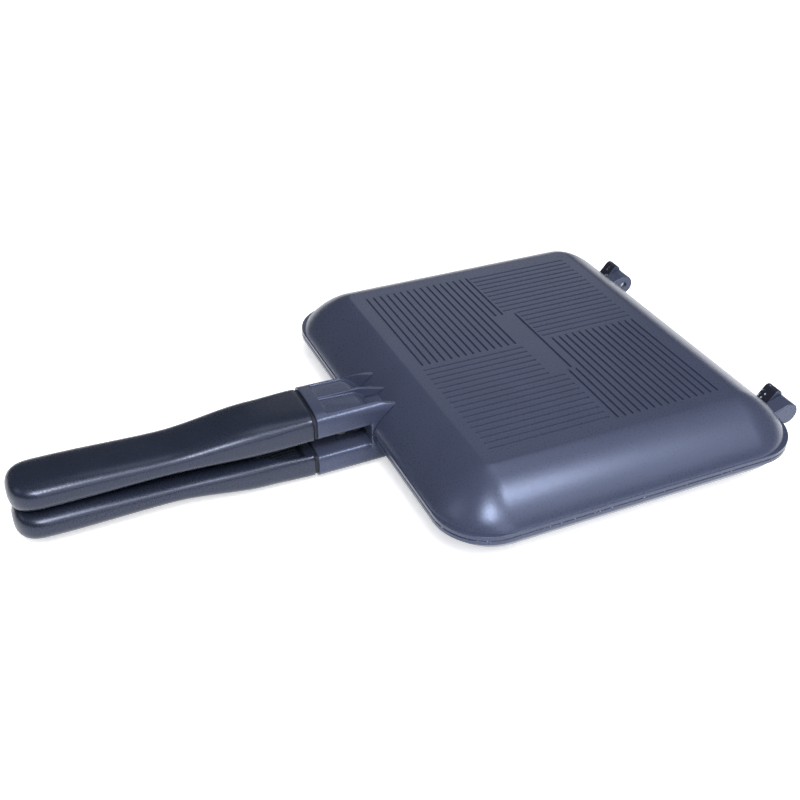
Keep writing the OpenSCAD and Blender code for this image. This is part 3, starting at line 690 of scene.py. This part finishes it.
def bracket_casting(node, half, s):
    """The bracket's solid drawn in to its rounded section, fluted, with the soft edges and fillets of a casting."""
    parts = []
    for keep in ("section", "foot"):
        bm = bmesh.new()
        bm.from_mesh(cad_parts[node].data)
        bmesh.ops.remove_doubles(bm, verts=bm.verts, dist=1e-6)
        bmesh.ops.transform(bm, matrix=PLACES[half].inverted(), verts=bm.verts)
        if keep == "section":
            bm = carve(bm, sleeve(s), "INTERSECT")
            for side in (-1, 1):
                bm = carve(bm, flute(s, side))
        else:
            # The foot is kept inside this block between the rim and the fins' roots
            middle, size = (-95.3, 0, 4), (4, 32.4, 9)
            block = bmesh.new()
            bmesh.ops.create_cube(block, size=1, matrix=Matrix.Translation(middle) @ Matrix.Diagonal((*size, 1)))
            bmesh.ops.bevel(block, geom=[e for e in block.edges if abs(e.verts[0].co.z - e.verts[1].co.z) > 1],
                            offset=1, offset_type="OFFSET", segments=3, profile=0.5, affect="EDGES", material=-1)
            bm = carve(bm, block, "INTERSECT")
        parts.append(bm)
    add_copy(*parts)

    def setup(blank):
        skin = blank.modifiers.new("Skin", "REMESH")
        skin.mode, skin.voxel_size, skin.use_smooth_shade = "VOXEL", s.cast_grain, True
        soft = blank.modifiers.new("Soft edges", "SMOOTH")
        soft.factor, soft.iterations = 0.5, 3
        thin = blank.modifiers.new("Fewer faces", "DECIMATE")
        thin.ratio = 0.5

    return through_modifiers(parts[0], setup)


class FLIPPAN_OT_brackets(bpy.types.Operator):
    """The cast brackets between trays and grips, with their fins and collars"""
    bl_idname = "flip_pan.brackets"
    bl_label = "Brackets"

    def execute(self, context):
        s = in_mm(context.scene.flip_pan_handles)
        for half in ("top", "bottom"):
            node = half + "_bracket"
            finish_piece(bracket_casting(node, half, s), node + "_casting", half, ["satin_sprayed_coat"],
                         node, sharp=60, weighted=False)
        return {"FINISHED"}


# ---------------------------------------------------------------- grips

# Four stations of a grip, as shares of its length from its face, and its measures at each, in millimetres
STATIONS = (0, 0.17, 0.5, 0.85)
HALF_WIDTHS = (16.2, 16.4, 14.3, 14.9)
OUTER_HEIGHTS = (18.3, 18.5, 14.6, 16.2)
INNER_HEIGHTS = (3.6, 2, 2, 0.4)
# Squareness of its section there: 2 is an ellipse
OUTER_SQUARENESS = (4, 3, 2.7, 2.6)
INNER_SQUARENESS = (6, 4, 2.9, 2.6)


def ease(t):
    """A share from 0 to 1, eased at both ends."""
    return t * t * (3 - 2 * t)


def grip_size(t, values):
    """A size at share t of the grip's length from its face, eased through its four stations."""
    for (t0, t1), (a, b) in zip(zip(STATIONS, STATIONS[1:]), zip(values, values[1:])):
        if t <= t1:
            return a + (b - a) * ease((t - t0) / (t1 - t0))
    return values[-1]


def end_scale(reach, over):
    """How far the end's rounding has drawn the section in, at a reach from the end."""
    return 1 if reach >= over else (1 - (1 - reach / over) ** 2.4) ** (1 / 2.4)


def grip_form(s):
    """The grip as a skin drawn ring by ring from its round end to its face."""
    face_x, end_x = -s.face_x, -s.face_x - s.grip_length
    bm = bmesh.new()
    around = bm.verts.layers.float_vector.new("around")
    ring = bmesh.ops.create_circle(bm, cap_ends=True, segments=96, radius=1)["verts"]
    edges = bm.edges[:]
    for v in ring:
        v[around] = v.co

    def shape(verts, x, draw_in):
        t = (face_x - x) / s.grip_length
        wide = grip_size(t, HALF_WIDTHS) * end_scale(x - end_x, s.end_round) - draw_in
        out, inn = grip_size(t, OUTER_HEIGHTS), grip_size(t, INNER_HEIGHTS)
        # The outer side is rounder than the inner side, and its end starts to round off sooner
        outer, inner = ((grip_size(t, square), (out - inn) / 2 * end_scale(x - end_x, share * s.end_round) - draw_in)
                        for square, share in ((OUTER_SQUARENESS, 0.6), (INNER_SQUARENESS, 0.35)))
        for v in verts:
            c, n, _ = v[around]
            power, high = outer if n > 0 else inner
            k = (abs(c) ** power + abs(n) ** power) ** (-1 / power)
            v.co = (x, wide * c * k, (out + inn) / 2 + high * n * k)

    # Places (x, how far the section is drawn in) of the rings round the end, along the body and at the face's edge
    end_rings, body_rings, edge_rings = 16, 76, 4
    rings = [(end_x + s.end_round * (1 - math.cos(math.pi / 2 * (i + 1.32) / (end_rings + 1))), 0)
             for i in range(end_rings)]
    body = s.grip_length - s.end_round - s.face_edge
    rings += [(end_x + s.end_round + body * i / body_rings, 0) for i in range(1, body_rings + 1)]
    for i in range(1, edge_rings + 1):
        angle = math.pi / 2 * i / edge_rings
        rings.append((face_x - s.face_edge * (1 - math.sin(angle)), s.face_edge * (1 - math.cos(angle))))
    shape(ring, *rings[0])
    for place in rings[1:]:
        ring, edges = extrude_ring(bm, edges)
        shape(ring, *place)
    bmesh.ops.edgeloop_fill(bm, edges=edges)
    bmesh.ops.recalc_face_normals(bm, faces=bm.faces)
    return bm


def press_scoop(bm, s):
    """Presses the finger scoop into the grip's inner face, with its rounded lip and fine curved ribs."""
    # The scoop's widest place, its blunt end and its tip, and the band outside it where the lip starts
    middle, end = -s.face_x - 8.9, -s.face_x - 4.9
    tip, band = middle - 27, 0.4
    # The first rib's distance from the middle line, the ribs' pitch and their half width
    first, pitch, half = 2.4, 2.1, 0.4
    bow = s.scoop_radius - s.scoop_half_width
    region = [f for f in bm.faces if f.normal.z < -0.3 and abs(f.calc_center_median().y) < 15.4
              and tip < f.calc_center_median().x < end + 1.5]
    bmesh.ops.subdivide_edges(bm, edges=list({e for f in region for e in f.edges}), cuts=3, use_grid_fill=True)
    for v in bm.verts:
        x, y, z = v.co
        if z > s.scoop_floor or x > end + 1 or x < tip:
            continue
        off_arcs = max(math.hypot(x - middle, y - bow), math.hypot(x - middle, y + bow))
        inside = min(s.scoop_radius - off_arcs, end - x)
        if inside <= -band:
            continue
        press = ease(min(1, (inside + band) / s.scoop_lip))
        arch = abs(y) - 0.01 * (x - middle + 1) ** 2
        rib = sum(math.exp(-((arch - first - pitch * i) / half) ** 2) for i in range(s.rib_count))
        # The ribs fade out towards the tip
        rib *= s.rib_height * ease(min(1, max(0, (x - middle + 14) / 8)))
        v.co.z += (s.scoop_floor - rib - z) * press


class FLIPPAN_OT_grips(bpy.types.Operator):
    """The moulded grips with their finger scoops, screw recesses and magnet seats"""
    bl_idname = "flip_pan.grips"
    bl_label = "Grips"

    def execute(self, context):
        s = in_mm(context.scene.flip_pan_handles)
        for half in ("top", "bottom"):
            bm = grip_form(s)
            press_scoop(bm, s)
            holes = bmesh.new()
            screw_x, magnet_x = -s.face_x - 43, -s.face_x - STATIONS[-1] * s.grip_length
            # Recess for the screw's head, and the magnet cap's seat
            for x, depth, radius, segments in ((screw_x, 5.4, 3.6, 48), (magnet_x, 1.75, 7.6, 64)):
                add_cylinder(holes, (x, 0, -1), (x, 0, depth), radius, segments)
            finish_piece(carve(bm, holes), half + "_grip_moulding", half, ["soft_touch_phenolic"],
                         half + "_grip", weighted=False)
        return {"FINISHED"}


# ---------------------------------------------------------------- fittings

class FLIPPAN_OT_fittings(bpy.types.Operator):
    """Finishes of the spacers, tangs, rivets, screws, magnets, caps and hinge pins"""
    bl_idname = "flip_pan.fittings"
    bl_label = "Fittings"

    def execute(self, context):
        finishes = {
            "heat_spacer": "heat_resistant_rubber",
            "magnet_cap": "moulded_cap_plastic",
            "magnet": "nickel_plate",
        }
        for name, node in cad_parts.items():
            if node.hide_render:
                continue
            finish = next((f for part, f in finishes.items() if name.endswith(part)), "drawn_stainless_steel")
            for own in node.material_slots:
                own.material = material(finish)
        return {"FINISHED"}


# ---------------------------------------------------------------- stage

class FLIPPAN_OT_stage(bpy.types.Operator):
    """Pale floor, plain soft lights, surroundings and the camera"""
    bl_idname = "flip_pan.stage"
    bl_label = "Stage"

    def execute(self, context):
        scene = context.scene
        s = scene.flip_pan_stage
        bm = bmesh.new()
        bmesh.ops.create_grid(bm, x_segments=1, y_segments=1, size=4)
        mesh = bpy.data.meshes.new("floor")
        bm.to_mesh(mesh)
        bm.free()
        finish = new_material("pale_studio_floor")
        tree = finish.node_tree
        paint = add_node(tree, "ShaderNodeBsdfDiffuse", values={"Color": (*s.floor, 1)})
        # Seen by the camera or in a reflection, the floor reaches white and keeps the shadow
        path = add_node(tree, "ShaderNodeLightPath")
        seen = add_node(tree, "ShaderNodeMath", settings={"operation": "MAXIMUM"},
                        links={0: (path, "Is Camera Ray"), 1: (path, "Is Glossy Ray")})
        seen = add_node(tree, "ShaderNodeMath", settings={"operation": "MAXIMUM"},
                        links={0: (seen, 0), 1: (path, "Is Transmission Ray")})
        lift = add_node(tree, "ShaderNodeMath", settings={"operation": "MULTIPLY"}, values={1: s.floor_lift},
                        links={0: (seen, 0)})
        glow = add_node(tree, "ShaderNodeEmission", links={"Strength": (lift, 0)})
        both = add_node(tree, "ShaderNodeAddShader", links={0: (paint, 0), 1: (glow, 0)})
        add_node(tree, "ShaderNodeOutputMaterial", links={"Surface": (both, 0)})
        mesh.materials.append(finish)
        floor = bpy.data.objects.new("floor", mesh)
        scene.collection.objects.link(floor)

        world = bpy.data.worlds.new("plain_surroundings")
        world.use_nodes = True
        world.node_tree.nodes.clear()
        light = add_node(world.node_tree, "ShaderNodeBackground", values={"Color": (*s.world, 1),
                                                                          "Strength": s.world_level})
        add_node(world.node_tree, "ShaderNodeOutputWorld", links={"Surface": (light, 0)})
        scene.world = world

        # Name, direction from the pan, distance and size in metres, power in watts at a lamp level of 1
        middle = Vector((-0.06, -0.02, 0.03))
        for name, way, reach, size, power in (
            ("front_box_high", (-0.2, -0.5, 0.84), 1.3, 0.34, 1.5),
            ("front_box_left", (-0.25, -0.62, 0.74), 1.3, 0.36, 11.5),
            ("front_box_middle", (0, -0.7, 0.7), 1.3, 0.34, 1.4),
            ("front_box_right", (0.33, -0.45, 0.83), 1.3, 0.3, 7.5),
            ("front_fill", (0, -0.93, 0.37), 1.5, 0.7, 3.2),
            ("right_fill", (0.5, -0.6, 0.64), 1.5, 0.7, 2.9),
            ("side_fill", (0.62, -0.26, 0.74), 1.5, 0.7, 1.0),
            ("top_fill", (0.25, 0.1, 0.95), 1.5, 0.7, 2.8),
            ("back_fill", (0.4, 0.8, 0.36), 1.5, 0.7, 0.9),
            ("left_fill", (-0.82, 0, 0.57), 1.5, 0.6, 1.4),
        ):
            lamp = bpy.data.lights.new(name, "AREA")
            lamp.shape, lamp.size, lamp.energy = "SQUARE", size, s.lamp_level * power
            stand = bpy.data.objects.new(name, lamp)
            stand.location = middle + Vector(way).normalized() * reach
            stand.rotation_euler = (stand.location - middle).to_track_quat("Z", "Y").to_euler()
            scene.collection.objects.link(stand)

        # The camera stands where the photograph's outlines put it: its turn, rise and roll in degrees
        turn, rise, roll = (math.radians(a) for a in (-24.427, 34.666, -0.678))
        back = Vector((math.sin(turn) * math.cos(rise), -math.cos(turn) * math.cos(rise), math.sin(rise)))
        right = back.cross(Vector((0, 0, 1))).normalized() * -1
        down = right.cross(back)
        across = right * math.cos(roll) + down * math.sin(roll)
        below = down * math.cos(roll) - right * math.sin(roll)
        lens = bpy.data.cameras.new("photo_view")
        lens.lens, lens.sensor_width, lens.clip_start = s.focal * 1000, 36, 0.01
        camera = bpy.data.objects.new("photo_view", lens)
        camera.matrix_world = (Matrix.Translation((-0.2609, -0.4093, 0.3377))
                               @ Matrix((across, -below, back)).transposed().to_4x4())
        scene.collection.objects.link(camera)
        scene.camera = camera
        scene.view_settings.view_transform = "Standard"
        return {"FINISHED"}


# ---------------------------------------------------------------- panel and running

OPERATORS = (FLIPPAN_OT_trays, FLIPPAN_OT_hinge_lugs, FLIPPAN_OT_brackets, FLIPPAN_OT_grips, FLIPPAN_OT_fittings,
             FLIPPAN_OT_stage)
GROUPS = {
    "flip_pan_trays": FlipPanTrayProps,
    "flip_pan_hinges": FlipPanHingeProps,
    "flip_pan_handles": FlipPanHandleProps,
    "flip_pan_colours": FlipPanColourProps,
    "flip_pan_stage": FlipPanStageProps,
}


class FLIPPAN_PT_sidebar(bpy.types.Panel):
    """Sizes, colours and pieces of the flip pan"""
    bl_idname = "FLIPPAN_PT_sidebar"
    bl_label = "Flip Pan"
    bl_space_type = "VIEW_3D"
    bl_region_type = "UI"
    bl_category = "Flip Pan"

    def draw(self, context):
        for operator in OPERATORS:
            self.layout.operator(operator.bl_idname)
        for group in GROUPS:
            box = self.layout.box()
            holder = getattr(context.scene, group)
            for item in holder.bl_rna.properties:
                if item.identifier not in {"rna_type", "name"}:
                    box.prop(holder, item.identifier)


def register():
    for kind in (*GROUPS.values(), *OPERATORS, FLIPPAN_PT_sidebar):
        bpy.utils.register_class(kind)
    for name, kind in GROUPS.items():
        setattr(bpy.types.Scene, name, PointerProperty(type=kind))


def unregister():
    for name in GROUPS:
        delattr(bpy.types.Scene, name)
    for kind in (FLIPPAN_PT_sidebar, *OPERATORS[::-1], *list(GROUPS.values())[::-1]):
        bpy.utils.unregister_class(kind)


def main():
    register()
    for step in ("trays", "hinge_lugs", "brackets", "grips", "fittings", "stage"):
        getattr(bpy.ops.flip_pan, step)()


if __name__ == "__main__":
    main()
